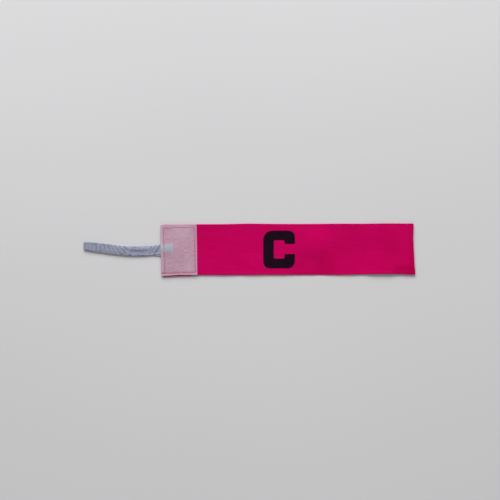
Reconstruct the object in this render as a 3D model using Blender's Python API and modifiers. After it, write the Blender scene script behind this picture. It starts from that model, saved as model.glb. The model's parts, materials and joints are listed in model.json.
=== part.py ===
"""A captain's armband, laid out flat with its front up.

The band is doubled cloth with turned edges. A panel of hook tape is sewn over the front of its
left end, and the two tails of an elastic loop are caught under the panel. A patch of pile tape
behind the right end is what the hooks grip when the band is closed round a sleeve. The captain's
letter is a thin film on the front.

Metres, +Z up. The pieces are modelled in the band's own frame: x from its left end, y from its
middle line and z from the surface that it lies on. The empty that carries them brings the middle
of the whole footprint to the origin.
"""

import bisect
import math
from collections import namedtuple

import bmesh
import bpy
from mathutils import Vector

# Pieces that lie on each other keep this much air between them
CLEARANCE = 0.0003

# Band: two layers of cloth, their edges turned in
BAND_LENGTH = 0.3415
BAND_HEIGHT = 0.0696
BAND_THICKNESS = 0.0016
HEM_WIDTH = 0.0050
HEM_RISE = 0.0004
EDGE_ROUNDING = 0.0008

# Hook tape sewn over the left end
PANEL_WIDTH = 0.0493
PANEL_SHY = 0.0002
PANEL_THICKNESS = 0.0016
PANEL_OVERHANG = 0.0022
PANEL_LEAN = 0.0010
PANEL_RAMP = 0.0060

# Elastic tape, doubled into a loop that lies out to the left
ELASTIC_WIDTH = 0.0125
ELASTIC_THICKNESS = 0.0009
LOOP_REACH = 0.1072
LOOP_SLACK = 0.0004
FOLD_OPENING = 0.0016
FOLD_STEPS = 8
TAIL_LENGTH = 0.0151
TAIL_MARGIN = 0.0015
LOOP_CLIMB = 0.0140

# Pile tape behind the right end
PATCH_WIDTH = 0.0500
PATCH_MARGIN = 0.0048
PATCH_THICKNESS = 0.0014
PATCH_INSET = 0.0060
PATCH_CORNER = 0.0015
PATCH_RAMP = 0.0180

# Captain's letter
LETTER_OFF_CENTRE = -0.0124
LETTER_WIDTH = 0.0430
LETTER_HEIGHT = 0.0510
LETTER_THICKNESS = 0.0004
LETTER_STEM = 0.0142
LETTER_TOP_BAR = 0.0126
LETTER_BOTTOM_BAR = 0.0130
LETTER_TIP = 0.0141
LETTER_MOUTH = 0.0139
LETTER_MOUTH_LIFT = 0.0007

# How far apart the lines of each mesh may lie
BAND_CELL = 0.0130
PANEL_CELL = 0.0045
LOOP_CELL = 0.0040
LETTER_CELL = 0.0070

# Outline of the band. along is a share of its length from the left end. top and bottom are how far
# each long edge stands above its straight line, and swell how far the cloth stands off the surface
# between its hems, all as shares of the height. hem is how full the turned edge is.
BandRow = namedtuple("BandRow", "along top bottom swell hem")
BAND_ROWS = [
    BandRow(0.00, -0.035, -0.039, 0.000, 0.0),
    BandRow(0.07, -0.012, -0.021, 0.000, 0.0),
    BandRow(0.11, -0.009, -0.017, 0.000, 0.0),
    BandRow(0.15, -0.008, -0.001, 0.000, 0.5),
    BandRow(0.25, -0.005, -0.001, -0.008, 1.0),
    BandRow(0.34, 0.000, 0.000, -0.008, 1.0),
    BandRow(0.44, -0.001, 0.002, -0.003, 1.0),
    BandRow(0.52, -0.003, 0.002, 0.004, 1.0),
    BandRow(0.61, -0.002, 0.002, 0.018, 1.0),
    BandRow(0.70, 0.001, 0.003, 0.004, 1.0),
    BandRow(0.80, 0.000, 0.016, -0.014, 1.0),
    BandRow(0.89, 0.008, 0.020, -0.004, 1.3),
    BandRow(1.00, 0.005, 0.012, 0.000, 1.8),
]

# Right end of the band. up is a share of the height, from the middle. out is how far the end
# stands past its straight line, as a share of the height.
EndRow = namedtuple("EndRow", "up out")
END_ROWS = [
    EndRow(-0.50, 0.031),
    EndRow(-0.40, 0.023),
    EndRow(-0.32, 0.014),
    EndRow(-0.10, 0.003),
    EndRow(0.23, -0.012),
    EndRow(0.50, -0.005),
]

# Outline of the hook tape. along is a share of its width from the left. top and bottom are how far
# those edges stand above their straight lines, as shares of its height.
PanelRow = namedtuple("PanelRow", "along top bottom")
PANEL_ROWS = [
    PanelRow(0.00, -0.031, -0.027),
    PanelRow(0.05, -0.015, -0.023),
    PanelRow(0.13, -0.005, -0.020),
    PanelRow(0.27, -0.004, -0.014),
    PanelRow(0.45, -0.003, -0.003),
    PanelRow(1.00, -0.002, -0.003),
]

# Lie of the elastic. along is a share of the loop's reach, from the band's left end to the fold,
# and is negative on the sewn tails. side is how far the front run's middle lies above the band's
# middle line, as a share of the reach. back is how far the back run lies to the side of the front
# one, and width and arch are the tape's width there and the height of its arched middle, all three
# as shares of the tape's own width.
LoopRow = namedtuple("LoopRow", "along side back width arch")
LOOP_ROWS = [
    LoopRow(-0.15, 0.018, -0.03, 1.00, 0.00),
    LoopRow(-0.07, 0.014, -0.08, 1.00, 0.00),
    LoopRow(0.02, 0.001, -0.19, 1.00, 0.00),
    LoopRow(0.13, -0.011, -0.11, 1.00, 0.00),
    LoopRow(0.24, -0.019, -0.08, 1.00, 0.00),
    LoopRow(0.34, -0.022, 0.00, 1.00, 0.00),
    LoopRow(0.44, -0.019, 0.03, 1.00, 0.00),
    LoopRow(0.54, -0.010, 0.02, 1.00, 0.00),
    LoopRow(0.64, 0.002, 0.00, 1.00, 0.00),
    LoopRow(0.74, 0.015, 0.00, 0.99, 0.01),
    LoopRow(0.85, 0.029, -0.02, 0.95, 0.04),
    LoopRow(0.93, 0.039, -0.04, 0.87, 0.07),
    LoopRow(1.00, 0.048, -0.04, 0.74, 0.11),
]

# Outer corners of the letter, the ones inside it and those of its two tips, as shares of its height
CORNER_TOP_LEFT = 0.24
CORNER_TOP_RIGHT = 0.17
CORNER_BOTTOM_RIGHT = 0.20
CORNER_BOTTOM_LEFT = 0.175
CORNER_INNER = 0.045
CORNER_TIP = 0.012
CORNER_STEPS = 6

# Sizes and places that follow
END_REACH = BAND_HEIGHT * max(row.out for row in END_ROWS)
LOWEST = BAND_HEIGHT * (min(row.bottom for row in BAND_ROWS) - 0.5)
HIGHEST = BAND_HEIGHT * (max(row.top for row in BAND_ROWS) + 0.5)
FOOTPRINT_X = (BAND_LENGTH + END_REACH - LOOP_REACH) / 2
FOOTPRINT_Y = (LOWEST + HIGHEST) / 2
PANEL_HEIGHT = BAND_HEIGHT - 2 * PANEL_SHY
PANEL_RIGHT = PANEL_WIDTH - PANEL_OVERHANG
PATCH_HEIGHT = BAND_HEIGHT - 2 * PATCH_MARGIN
PATCH_RIGHT = BAND_LENGTH - PATCH_INSET
PATCH_LEFT = PATCH_RIGHT - PATCH_WIDTH
PATCH_LIFT = PATCH_THICKNESS + CLEARANCE
TAILS_RISE = 2 * (ELASTIC_THICKNESS + CLEARANCE)
TAILS_MIDDLE = LOOP_REACH * LOOP_ROWS[0].side
TAILS_REACH = ELASTIC_WIDTH / 2 + TAIL_MARGIN
LETTER_X = BAND_LENGTH / 2 + LETTER_OFF_CENTRE


def clear_scene():
    for obj in list(bpy.data.objects):
        bpy.data.objects.remove(obj, do_unlink=True)


def ease(share):
    """0 below 0, 1 above 1 and a smooth climb between."""
    share = min(max(share, 0.0), 1.0)
    return share * share * (3 - 2 * share)


def follow(rows, column, at):
    """A table's column at a place between its rows, on a smooth curve through them."""
    places = [row[0] for row in rows]
    values = [getattr(row, column) for row in rows]
    at = min(max(at, places[0]), places[-1])
    i = min(bisect.bisect_right(places, at), len(rows) - 1) - 1

    def slope(k):
        low, high = max(k - 1, 0), min(k + 1, len(rows) - 1)
        return (values[high] - values[low]) / (places[high] - places[low])

    step = places[i + 1] - places[i]
    t = (at - places[i]) / step
    start = (1 + 2 * t) * (1 - t) ** 2 * values[i] + t * (1 - t) ** 2 * step * slope(i)
    end = t * t * (3 - 2 * t) * values[i + 1] - t * t * (1 - t) * step * slope(i + 1)
    return start + end


def stations(marks, cell):
    """The marks in order, with equal steps no longer than cell between them."""
    marks = sorted(marks)
    found = [marks[0]]
    for low, high in zip(marks, marks[1:]):
        steps = math.ceil((high - low) / cell - 0.001)
        found += [low + (high - low) * (k + 1) / steps for k in range(steps)]
    return found


def band_edges(x):
    """The band's bottom and top edge at a place along it."""
    along = x / BAND_LENGTH
    bottom = BAND_HEIGHT * (follow(BAND_ROWS, "bottom", along) - 0.5)
    top = BAND_HEIGHT * (follow(BAND_ROWS, "top", along) + 0.5)
    return bottom, top


def band_lift(x, y):
    """How far the patch behind the right end holds the band off the surface."""
    climb = ease((x - PATCH_LEFT) / PATCH_RAMP + 1)
    past = abs(y) - PATCH_HEIGHT / 2
    return PATCH_LIFT * climb * (1 - ease(past / PATCH_MARGIN / 2) / 2)


def band_top(x, y):
    """Height of the band's front face at a place on it."""
    along = x / BAND_LENGTH
    bottom, top = band_edges(x)
    inward = min(y - bottom, top - y, BAND_LENGTH - x)
    hem = HEM_RISE * follow(BAND_ROWS, "hem", along) * (1 - ease(inward / HEM_WIDTH - 0.5))
    across = math.sin(math.pi * (y - bottom) / (top - bottom))
    swell = BAND_HEIGHT * follow(BAND_ROWS, "swell", along) * across**2
    return band_lift(x, y) + BAND_THICKNESS + hem + swell


def tails_lift(x, y):
    """How far the tails of the elastic hold the hook tape off the band."""
    past_side = abs(y - TAILS_MIDDLE) - TAILS_REACH
    past_end = x - TAIL_LENGTH
    return TAILS_RISE * (1 - ease(past_side / PANEL_RAMP)) * (1 - ease(past_end / PANEL_RAMP))


def grid(columns, rows, place):
    """A sheet of faces with a line at each column and row, its points put where place says."""
    mesh = bmesh.new()
    bmesh.ops.create_grid(mesh, x_segments=len(columns) - 1, y_segments=len(rows) - 1, size=0.5)
    for vert in mesh.verts:
        column = round((vert.co.x + 0.5) * (len(columns) - 1))
        row = round((vert.co.y + 0.5) * (len(rows) - 1))
        vert.co = place(columns[column], rows[row])
    return mesh


def add_object(name, mesh, location, material):
    """Puts a piece at its place in the band's frame."""
    data = bpy.data.meshes.new(name)
    mesh.to_mesh(data)
    mesh.free()
    data.materials.append(material)
    obj = bpy.data.objects.new(name, data)
    obj.location = location
    obj.parent = bpy.data.objects["band_frame"]
    bpy.data.collections["captain_armband"].objects.link(obj)
    return obj


def add_wall(obj, thickness, offset):
    wall = obj.modifiers.new("wall", "SOLIDIFY")
    wall.thickness = thickness
    wall.offset = offset


def make_material(name, colour, roughness):
    material = bpy.data.materials.new(name)
    material.use_nodes = True
    shader = material.node_tree.nodes["Principled BSDF"]
    shader.inputs["Base Color"].default_value = (*colour, 1.0)
    shader.inputs["Roughness"].default_value = roughness
    shader.inputs["Metallic"].default_value = 0.0
    return material


def make_frame():
    """The collection, and the empty that carries the band's frame."""
    collection = bpy.data.collections.new("captain_armband")
    bpy.context.scene.collection.children.link(collection)
    frame = bpy.data.objects.new("band_frame", None)
    frame.location = (-FOOTPRINT_X, -FOOTPRINT_Y, 0.0)
    collection.objects.link(frame)


def make_band():
    """The doubled cloth: a flat back, a softly swelling front and full turned edges."""
    half = BAND_HEIGHT / 2
    columns = stations(
        [
            0.0,
            EDGE_ROUNDING,
            PANEL_RIGHT,
            PATCH_LEFT - PATCH_RAMP,
            PATCH_LEFT - PATCH_RAMP / 2,
            PATCH_LEFT,
            BAND_LENGTH - 1.5 * HEM_WIDTH,
            BAND_LENGTH - HEM_WIDTH / 2,
            BAND_LENGTH - EDGE_ROUNDING,
            BAND_LENGTH,
        ],
        BAND_CELL,
    )
    out_to_edge = [half - 1.5 * HEM_WIDTH, half - HEM_WIDTH / 2, half - EDGE_ROUNDING, half]
    rows = stations([0.0, *out_to_edge, *(-row for row in out_to_edge)], BAND_CELL)

    def flat(column, row):
        return Vector((column, row, 0.0))

    mesh = grid(columns, rows, flat)
    back = mesh.verts[:]
    grown = bmesh.ops.extrude_face_region(mesh, geom=mesh.faces[:], use_keep_orig=True)
    front = [part for part in grown["geom"] if isinstance(part, bmesh.types.BMVert)]

    def put(vert, height):
        x, up = vert.co.x, vert.co.y / BAND_HEIGHT
        bottom, top = band_edges(x)
        y = bottom + (top - bottom) * (up + 0.5)
        slant = BAND_HEIGHT * follow(END_ROWS, "out", up) * ease(4 * x / BAND_LENGTH - 3)
        lean = PANEL_LEAN * -up * (1 - ease(4 * x / BAND_LENGTH))
        vert.co = (x + slant + lean, y, height(x, y))

    for vert in back:
        put(vert, band_lift)
    for vert in front:
        put(vert, band_top)
    bmesh.ops.recalc_face_normals(mesh, faces=mesh.faces[:])
    material = make_material("pink_cloth", (0.50, 0.002, 0.09), 0.85)
    band = add_object("band_cloth", mesh, (0.0, 0.0, 0.0), material)
    soften = band.modifiers.new("soften", "SUBSURF")
    soften.levels = 1
    soften.render_levels = 1
    band.data.shade_smooth()


def make_panel():
    """The hook tape over the left end, cut square and set on a little askew."""
    half = PANEL_HEIGHT / 2
    tails_end = PANEL_OVERHANG + TAIL_LENGTH
    columns = stations([0.0, tails_end, tails_end + PANEL_RAMP, PANEL_WIDTH], PANEL_CELL)
    beside = [TAILS_REACH, TAILS_REACH + PANEL_RAMP / 2, TAILS_REACH + PANEL_RAMP]
    lower = [TAILS_MIDDLE - out for out in beside]
    upper = [TAILS_MIDDLE + out for out in beside]
    rows = stations([-half, *lower, *upper, half], PANEL_CELL)

    def place(column, row):
        up = row / PANEL_HEIGHT + 0.5
        bottom = PANEL_HEIGHT * follow(PANEL_ROWS, "bottom", column / PANEL_WIDTH)
        top = PANEL_HEIGHT * follow(PANEL_ROWS, "top", column / PANEL_WIDTH)
        x = column - PANEL_OVERHANG
        y = row + bottom * (1 - up) + top * up
        lean = PANEL_LEAN * (0.5 - up)
        return Vector((column + lean, y, band_top(x, y) + CLEARANCE + tails_lift(x, y)))

    material = make_material("hook_tape", (0.45, 0.28, 0.36), 0.55)
    location = (-PANEL_OVERHANG, 0.0, 0.0)
    panel = add_object("hook_panel", grid(columns, rows, place), location, material)
    add_wall(panel, PANEL_THICKNESS, 1.0)


def back_run(along):
    """Middle of the elastic's wall on the run that lies underneath."""
    y = LOOP_REACH * follow(LOOP_ROWS, "side", along) + ELASTIC_WIDTH * follow(LOOP_ROWS, "back", along)
    onto_band = 1 - ease(LOOP_REACH * along / LOOP_CLIMB)
    z = ELASTIC_THICKNESS / 2 + (BAND_THICKNESS + CLEARANCE) * onto_band
    return -LOOP_REACH * along, y, z


def front_run(along):
    """Middle of the elastic's wall on the run that lies on top, and opens towards the fold."""
    x, y, z = back_run(along)
    opening = CLEARANCE + LOOP_SLACK * ease(3 * along) * ease(3 - 3 * along)
    opening += (FOLD_OPENING - CLEARANCE) * ease(4 * along - 3)
    return x, LOOP_REACH * follow(LOOP_ROWS, "side", along), z + ELASTIC_THICKNESS + opening


def make_loop():
    """One length of elastic: out along the back run, round the fold and home along the front."""
    radius = (ELASTIC_THICKNESS + FOLD_OPENING) / 2
    turn = 1 - (radius + ELASTIC_THICKNESS / 2) / LOOP_REACH
    marks = [-TAIL_LENGTH / LOOP_REACH, 0.0, LOOP_CLIMB / LOOP_REACH, turn]
    outward = stations(marks, LOOP_CELL / LOOP_REACH)
    line = [(along, back_run(along)) for along in outward]
    x, y, z = back_run(turn)
    front_y = front_run(turn)[1]
    for k in range(1, FOLD_STEPS):
        angle = math.pi * k / FOLD_STEPS
        out = radius * math.sin(angle)
        side = y + (front_y - y) * k / FOLD_STEPS
        line.append((turn + out / LOOP_REACH, (x - out, side, z + radius * (1 - math.cos(angle)))))
    line += [(along, front_run(along)) for along in reversed(outward)]

    def place(step, share):
        along, (x, y, z) = line[step]
        width = ELASTIC_WIDTH * follow(LOOP_ROWS, "width", along)
        arch = ELASTIC_WIDTH * max(follow(LOOP_ROWS, "arch", along), 0.0)
        return Vector((x, y + width * share, z + arch * (1 - 4 * share * share)))

    mesh = grid(range(len(line)), [-0.5, -0.25, 0.0, 0.25, 0.5], place)
    material = make_material("elastic", (0.80, 0.81, 0.86), 0.8)
    loop = add_object("elastic_loop", mesh, (0.0, 0.0, 0.0), material)
    add_wall(loop, ELASTIC_THICKNESS, 0.0)


def make_patch():
    """The pile tape on the back, that the hooks grip when the band is closed."""
    mesh = bmesh.new()
    bmesh.ops.create_cube(mesh, size=1.0)
    bmesh.ops.scale(mesh, vec=(PATCH_WIDTH, PATCH_HEIGHT, PATCH_THICKNESS), verts=mesh.verts)
    upright = [edge for edge in mesh.edges if edge.verts[0].co.z != edge.verts[1].co.z]
    bmesh.ops.bevel(mesh, geom=upright, offset=PATCH_CORNER, segments=4, affect="EDGES", profile=0.5)
    location = (PATCH_LEFT + PATCH_WIDTH / 2, 0.0, PATCH_THICKNESS / 2)
    add_object("loop_patch", mesh, location, make_material("pile_tape", (0.80, 0.80, 0.84), 0.9))


def rounded(corners):
    """The points of a closed outline whose corners, (x, y, radius), are rounded."""
    points = []
    for k, (x, y, radius) in enumerate(corners):
        corner = Vector((x, y))
        back = (Vector(corners[k - 1][:2]) - corner).normalized()
        ahead = (Vector(corners[(k + 1) % len(corners)][:2]) - corner).normalized()
        centre = corner + radius * (back + ahead)
        for step in range(CORNER_STEPS + 1):
            angle = math.pi / 2 * step / CORNER_STEPS
            points.append(centre - radius * (math.cos(angle) * ahead + math.sin(angle) * back))
    return points


def letter_outline():
    """The outline of the block letter C, about its own middle."""
    right, top = LETTER_WIDTH / 2, LETTER_HEIGHT / 2
    stem, tip = LETTER_STEM - right, right - LETTER_TIP
    mouth_top = LETTER_MOUTH_LIFT + LETTER_MOUTH / 2
    mouth_bottom = LETTER_MOUTH_LIFT - LETTER_MOUTH / 2
    inner, point = CORNER_INNER * LETTER_HEIGHT, CORNER_TIP * LETTER_HEIGHT
    return rounded(
        [
            (-right, top, CORNER_TOP_LEFT * LETTER_HEIGHT),
            (-right, -top, CORNER_BOTTOM_LEFT * LETTER_HEIGHT),
            (right, -top, CORNER_BOTTOM_RIGHT * LETTER_HEIGHT),
            (right, mouth_bottom, point),
            (tip, mouth_bottom, point),
            (tip, LETTER_BOTTOM_BAR - top, inner),
            (stem, LETTER_BOTTOM_BAR - top, inner),
            (stem, top - LETTER_TOP_BAR, inner),
            (tip, top - LETTER_TOP_BAR, inner),
            (tip, mouth_top, point),
            (right, mouth_top, point),
            (right, top, CORNER_TOP_RIGHT * LETTER_HEIGHT),
        ]
    )


def filled(outline):
    """A flat mesh of the faces inside an outline."""
    curve = bpy.data.curves.new("letter_guide", "CURVE")
    curve.dimensions = "2D"
    curve.fill_mode = "BOTH"
    spline = curve.splines.new("POLY")
    spline.points.add(len(outline) - 1)
    for point, (x, y) in zip(spline.points, outline):
        point.co = (x, y, 0.0, 1.0)
    spline.use_cyclic_u = True
    guide = bpy.data.objects.new("letter_guide", curve)
    bpy.context.scene.collection.objects.link(guide)
    evaluated = guide.evaluated_get(bpy.context.evaluated_depsgraph_get())
    flat = bpy.data.meshes.new_from_object(evaluated)
    bpy.data.objects.remove(guide, do_unlink=True)
    mesh = bmesh.new()
    mesh.from_mesh(flat)
    bpy.data.meshes.remove(flat)
    return mesh


def make_letter():
    """The captain's letter, a film that follows the swell of the cloth."""
    mesh = filled(letter_outline())
    bmesh.ops.remove_doubles(mesh, verts=mesh.verts, dist=0.00001)
    bmesh.ops.dissolve_limit(mesh, angle_limit=0.01, verts=mesh.verts, edges=mesh.edges)
    for normal, span in (((1, 0, 0), LETTER_WIDTH), ((0, 1, 0), LETTER_HEIGHT)):
        for cut in stations([-span / 2, span / 2], LETTER_CELL)[1:-1]:
            whole = mesh.verts[:] + mesh.edges[:] + mesh.faces[:]
            bmesh.ops.bisect_plane(mesh, geom=whole, plane_co=cut * Vector(normal), plane_no=normal)
    for vert in mesh.verts:
        vert.co.z = band_top(LETTER_X + vert.co.x, vert.co.y) + CLEARANCE
    for face in mesh.faces:
        face.normal_update()
        if face.normal.z < 0:
            face.normal_flip()
    material = make_material("letter_film", (0.012, 0.006, 0.01), 0.6)
    letter = add_object("captain_letter", mesh, (LETTER_X, 0.0, 0.0), material)
    add_wall(letter, LETTER_THICKNESS, 1.0)


def main():
    clear_scene()
    make_frame()
    make_band()
    make_panel()
    make_loop()
    make_patch()
    make_letter()


main()
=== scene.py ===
"""A captain's armband, lying flat with its front up, dressed and lit for its picture.

Metres, +Z up. The CAD model is loaded as a fixed frame, and a sewn piece stands in for each of its
soft solids. Shapes are worked out in the band's own frame, as in the part's source: x from the
band's left end, y from its middle line and z from the surface that it lies on.
"""

import json
import math
import random
from collections import namedtuple

import bmesh
import bpy
import numpy as np
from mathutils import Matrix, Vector

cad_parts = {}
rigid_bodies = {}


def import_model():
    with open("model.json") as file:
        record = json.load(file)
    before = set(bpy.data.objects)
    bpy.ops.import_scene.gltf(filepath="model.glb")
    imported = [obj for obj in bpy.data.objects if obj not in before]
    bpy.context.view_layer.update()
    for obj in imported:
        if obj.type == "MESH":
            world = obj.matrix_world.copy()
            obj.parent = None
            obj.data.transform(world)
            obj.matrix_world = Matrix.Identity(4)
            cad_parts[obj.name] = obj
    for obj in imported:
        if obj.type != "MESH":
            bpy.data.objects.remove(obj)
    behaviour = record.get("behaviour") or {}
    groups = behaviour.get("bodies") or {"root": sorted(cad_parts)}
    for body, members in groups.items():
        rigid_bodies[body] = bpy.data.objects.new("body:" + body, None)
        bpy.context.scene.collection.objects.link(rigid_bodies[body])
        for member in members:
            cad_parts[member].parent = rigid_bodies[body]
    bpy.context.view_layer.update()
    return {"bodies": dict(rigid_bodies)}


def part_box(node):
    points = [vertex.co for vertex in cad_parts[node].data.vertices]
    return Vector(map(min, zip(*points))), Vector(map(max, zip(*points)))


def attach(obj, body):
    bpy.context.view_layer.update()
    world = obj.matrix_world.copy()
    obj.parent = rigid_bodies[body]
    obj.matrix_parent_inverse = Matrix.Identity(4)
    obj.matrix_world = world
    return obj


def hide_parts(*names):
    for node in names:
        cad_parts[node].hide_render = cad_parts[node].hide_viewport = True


def table(columns, *rows):
    """A table whose rows give their numbers by the names of its columns."""
    row = namedtuple("Row", columns)
    return [row(*numbers) for numbers in rows]


# Air between pieces that lie on each other
AIR = 0.0001

# Band: two layers of knitted cloth, their edges turned in
BAND_LENGTH = 0.3415
BAND_HEIGHT = 0.0696
BAND_THICKNESS = 0.0016
CORNER_RADIUS = 0.0013

# Its hem: width, height, where it starts to fall and over what way, and the step at its inner
# side, which is crisp along the top left alone
HEM_WIDTH = 0.0052
HEM_RISE = 0.0003
HEM_CREST = 0.0012
HEM_FALL = 0.0042
HEM_STEP = 0.00012
HEM_STEP_RUN = 0.0008
CRISP_END = 0.080
CRISP_RUN = 0.03
UPPER_RUN = 0.004

# Its back face: how much of a bulge it follows, and over what way from the edges
BACK_SHARE = 0.6
BACK_RUN = 0.012

# Hook tape sewn over the left end
PANEL_WIDTH = 0.0491
PANEL_HEIGHT = 0.0692
PANEL_OVERHANG = 0.0023
PANEL_LEAN = 0.0016
PANEL_FLARE = 0.00054
PANEL_RAMP = 0.0055
PANEL_HOLD = 0.006
TAPE_THICKNESS = 0.0005
HOOK_HEIGHT = 0.00115
HOOK_WIRE = 0.00020

# Elastic tape, doubled into a loop that lies out to the left
ELASTIC_WIDTH = 0.0125
ELASTIC_THICKNESS = 0.0009
TAIL_SQUEEZE = 0.50
CORDS = 17
CORD_VALLEY = 0.62
LOOP_REACH = 0.1072
LOOP_SLACK = 0.0004
FOLD_OPENING = 0.0011
FOLD_STEPS = 10
TAIL_LENGTH = 0.0151
TAIL_MARGIN = 0.0006
TAILS_SINK = 0.00085
TAILS_ARCH = 0.00050
TAILS_ARCH_REACH = 0.0062
LOOP_CLIMB = 0.0140
PUCKER = 0.00010

# Pile tape behind the right end
PATCH_WIDTH = 0.0500
PATCH_HEIGHT = 0.0600
PATCH_THICKNESS = 0.0014
PATCH_INSET = 0.0060
PATCH_RAMP = 0.0180
PATCH_MARGIN = 0.0048
PATCH_DROOP = 0.15
PILE_HEIGHT = 0.0009

# Captain's letter, and its corners about its own middle: x, y and the radius of each
LETTER_X = 0.15835
LETTER_WIDTH = 0.0430
LETTER_HEIGHT = 0.0510
LETTER_THICKNESS = 0.0003
LETTER_AIR = 0.00002
LETTER_BEVEL = 0.00010
SHARP_ANGLE = math.radians(50)
CORNER_STEPS = 8
LETTER_CORNERS = [
    (-0.0215, 0.0255, 0.01224),
    (-0.0215, -0.0255, 0.008925),
    (0.0215, -0.0255, 0.0102),
    (0.0215, -0.00625, 0.000612),
    (0.0074, -0.00625, 0.000612),
    (0.0074, -0.0125, 0.002295),
    (-0.0073, -0.0125, 0.002295),
    (-0.0073, 0.0129, 0.002295),
    (0.0074, 0.0129, 0.002295),
    (0.0074, 0.00765, 0.000612),
    (0.0215, 0.00765, 0.000612),
    (0.0215, 0.0255, 0.00867),
]

# Sewing, how far its stitches draw the band's back and the hook tape in, and how far from them
# the hooks and the pile are pressed flat
STITCH_PITCH = 0.0028
STITCH_LENGTH = 0.0023
THREAD = 0.00031
BACK_DENT = 0.00030
BACK_DENT_REACH = 0.0009
TAPE_DENT = 0.00015
TAPE_DENT_REACH = 0.0008
HOOKS_PRESSED = 0.0009
PILE_PRESSED = 0.0012
DOWN = (0.0, 0.0, -1.0)

# Hooks and pile loops: points and sides of a wire, its shank as a share of it, the radius of its
# curl as a share of its height, and how far off the rays start that find the surface
WIRE_POINTS = 8
WIRE_SIDES = 4
SHANK = 0.28
CURL_RADIUS = 0.30
RAY_START = 0.05

# How far apart the lines of each mesh lie, and how far from a cut edge its finest ones do
BAND_CELL = 0.0010
PANEL_CELL = 0.0008
PATCH_CELL = 0.0015
LOOP_CELL = 0.0011
LETTER_CELL = 0.0020
PATH_STEP = 0.0004
CUT_EDGE = [0.0, 0.0001, 0.00025, 0.0006]

# Outline of the band. along is a share of its length. top and bottom are how far each long edge
# stands above its straight line, as shares of the height. hem is how full the turned edge is.
BAND_ROWS = table(
    "along top bottom hem",
    (0.00, -0.035, -0.039, 0.0),
    (0.07, -0.012, -0.021, 0.0),
    (0.11, -0.009, -0.017, 0.0),
    (0.15, -0.008, -0.001, 0.5),
    (0.25, -0.006, -0.003, 1.0),
    (0.34, 0.004, -0.001, 1.0),
    (0.44, -0.001, 0.002, 0.8),
    (0.52, -0.003, 0.002, 0.1),
    (0.61, -0.001, 0.002, -0.8),
    (0.70, 0.003, 0.001, 0.2),
    (0.80, 0.003, 0.0125, 0.9),
    (0.89, 0.008, 0.0185, 0.9),
    (0.93, 0.0075, 0.0170, 0.0),
    (1.00, 0.006, 0.004, -0.4),
)

# Right end of the band: places up it and how far it stands out there, as shares of the height
END_ROWS = table(
    "up out",
    (-0.50, 0.031),
    (-0.40, 0.023),
    (-0.32, 0.014),
    (-0.10, 0.003),
    (0.23, -0.012),
    (0.50, -0.005),
)

# Rim of the band, where each layer rolls under on its own and their seam lies sunk between them.
# mark is the mesh line's place from the edge, inset is where that line really lies, and full is how
# far it stands from the middle of the thickness, as a share.
RIM_ROWS = table(
    "mark inset full",
    (0.0, 0.00052, 0.0),
    (0.00007, 0.00012, 0.16),
    (0.00018, 0.0, 0.46),
    (0.00034, 0.00012, 0.74),
    (0.00056, 0.00038, 0.92),
    (0.0009, 0.00085, 1.0),
    (0.0016, 0.0016, 1.0),
)
RIM_END = 0.0025

# Outline of the hook tape, in the same way as the band's
PANEL_ROWS = table(
    "along top bottom",
    (0.00, -0.031, -0.027),
    (0.05, -0.015, -0.023),
    (0.13, -0.005, -0.020),
    (0.27, -0.004, -0.014),
    (0.45, -0.003, -0.003),
    (1.00, -0.002, -0.003),
)

# Lie of the elastic. along is a share of the loop's reach, from the band's left end to the fold,
# and is negative on the sewn tails. side is how far the front run lies above the band's middle
# line, as a share of the reach. back is how far the back run lies to the side of the front one,
# width is the tape's width and arch how far its middle stands up, as shares of its own width.
LOOP_ROWS = table(
    "along side back width arch",
    (-0.15, 0.018, -0.03, 1.00, 0.00),
    (-0.07, 0.014, -0.08, 1.00, 0.00),
    (0.02, 0.001, -0.19, 1.00, 0.00),
    (0.13, -0.011, -0.11, 1.00, 0.026),
    (0.24, -0.019, -0.08, 1.00, 0.026),
    (0.34, -0.022, 0.00, 1.00, 0.026),
    (0.44, -0.019, 0.03, 1.00, 0.026),
    (0.54, -0.010, 0.02, 1.00, 0.026),
    (0.64, 0.002, 0.00, 1.00, 0.026),
    (0.74, 0.015, 0.00, 0.99, 0.02),
    (0.85, 0.029, -0.02, 0.95, 0.015),
    (0.93, 0.039, -0.04, 0.87, 0.01),
    (1.00, 0.048, -0.04, 0.74, 0.01),
)

# Puckers across the elastic. count is how many of them lie between a place and the fold, and turn
# is how far they slant there, as puckers crossed from edge to edge.
RIB_ROWS = table(
    "along count turn",
    (-0.15, 3.0, 1.0),
    (0.02, 5.2, 1.2),
    (0.065, 6.0, 1.3),
    (0.128, 7.0, 1.5),
    (0.165, 7.81, 1.8),
    (0.20, 7.97, 1.9),
    (0.30, 7.98, 1.9),
    (0.42, 7.92, 1.9),
    (0.445, 7.73, 1.9),
    (0.496, 7.0, 1.7),
    (0.570, 6.0, 1.4),
    (0.624, 5.0, 1.3),
    (0.671, 4.0, 0.9),
    (0.731, 3.0, 0.5),
    (0.788, 2.0, 0.1),
    (0.841, 1.0, 0.0),
    (0.889, 0.0, 0.0),
    (1.00, -2.4, 0.0),
)

# Soft swells and hollows of the cloth: the x and y of each, how far it reaches along and across
# the band, and how high it stands
SWELLS = [
    (0.2080, 0.0060, 0.0260, 0.0190, 0.00200),
    (0.2765, -0.0010, 0.0400, 0.0210, -0.00138),
    (0.2195, -0.0310, 0.0120, 0.0100, -0.00045),
    (0.0950, -0.0020, 0.0550, 0.0230, -0.00085),
    (0.0740, -0.0010, 0.0140, 0.0120, -0.00020),
    (0.1040, 0.0200, 0.0130, 0.0100, 0.00018),
    (0.1300, 0.0220, 0.0080, 0.0080, -0.00012),
    (0.3200, 0.0080, 0.0160, 0.0200, 0.00030),
]

# The bulge that the band's end lies in, under the hook tape
BULGE = [(0.0240, -0.0140, 0.0300, 0.0240, 0.00070)]

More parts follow.
